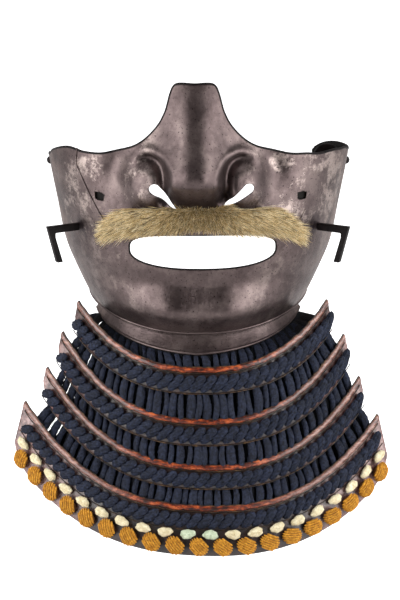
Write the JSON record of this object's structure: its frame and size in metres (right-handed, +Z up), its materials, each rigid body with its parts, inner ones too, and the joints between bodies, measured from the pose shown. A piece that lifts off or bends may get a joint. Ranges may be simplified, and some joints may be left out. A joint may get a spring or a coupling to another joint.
{
  "type": "samurai face guard with throat guard",
  "caption": "Iron half mask with a fur moustache and cheek hooks, and a laced throat guard hung from its chin.",
  "frame": {"origin": "inside of the chin, on the middle line, where the guard sits on its wearer's chin", "axes": "+Z up along the face, -Y out of the nose, +X to the right as seen from in front"},
  "size_m": [0.2043, 0.136, 0.2523],
  "materials": {
    "russet_iron": "smooth brown rusted iron with fine pitting",
    "black_iron": "blackened forged iron",
    "moustache_fur": "combed tan fur",
    "red_lacquer": "worn red lacquer over brown",
    "blue_lace": "dark blue braided lacing",
    "cream_cord": "cream cord knot",
    "gold_cord": "ochre cord knot"
  },
  "bodies": {
    "root": {"face_shell": "russet_iron", "neck_flange": "russet_iron", "hook_left": "black_iron", "hook_right": "black_iron", "rivet_left": "black_iron", "rivet_right": "black_iron", "moustache": "moustache_fur", "lame_1": "red_lacquer", "lacing_1": "blue_lace", "cross_lacing_1": "blue_lace", "lame_2": "red_lacquer", "lacing_2": "blue_lace", "cross_lacing_2": "blue_lace", "lame_3": "red_lacquer", "lacing_3": "blue_lace", "cross_lacing_3": "blue_lace", "lame_4": "red_lacquer", "lacing_4": "blue_lace", "cross_lacing_4": "blue_lace", "white_knot_01": "cream_cord", "white_knot_02": "cream_cord", "white_knot_03": "cream_cord", "white_knot_04": "cream_cord", "white_knot_05": "cream_cord", "white_knot_06": "cream_cord", "white_knot_07": "cream_cord", "white_knot_08": "cream_cord", "white_knot_09": "cream_cord", "white_knot_10": "cream_cord", "white_knot_11": "cream_cord", "white_knot_12": "cream_cord", "white_knot_13": "cream_cord", "white_knot_14": "cream_cord", "white_knot_15": "cream_cord", "white_knot_16": "cream_cord", "white_knot_17": "cream_cord", "white_knot_18": "cream_cord", "white_knot_19": "cream_cord", "white_knot_20": "cream_cord", "gold_knot_01": "gold_cord", "gold_knot_02": "gold_cord", "gold_knot_03": "gold_cord", "gold_knot_04": "gold_cord", "gold_knot_05": "gold_cord", "gold_knot_06": "gold_cord", "gold_knot_07": "gold_cord", "gold_knot_08": "gold_cord", "gold_knot_09": "gold_cord", "gold_knot_10": "gold_cord", "gold_knot_11": "gold_cord", "gold_knot_12": "gold_cord", "gold_knot_13": "gold_cord", "gold_knot_14": "gold_cord", "gold_knot_15": "gold_cord", "gold_knot_16": "gold_cord", "gold_knot_17": "gold_cord", "gold_knot_18": "gold_cord", "gold_knot_19": "gold_cord"}
  },
  "joints": []
}
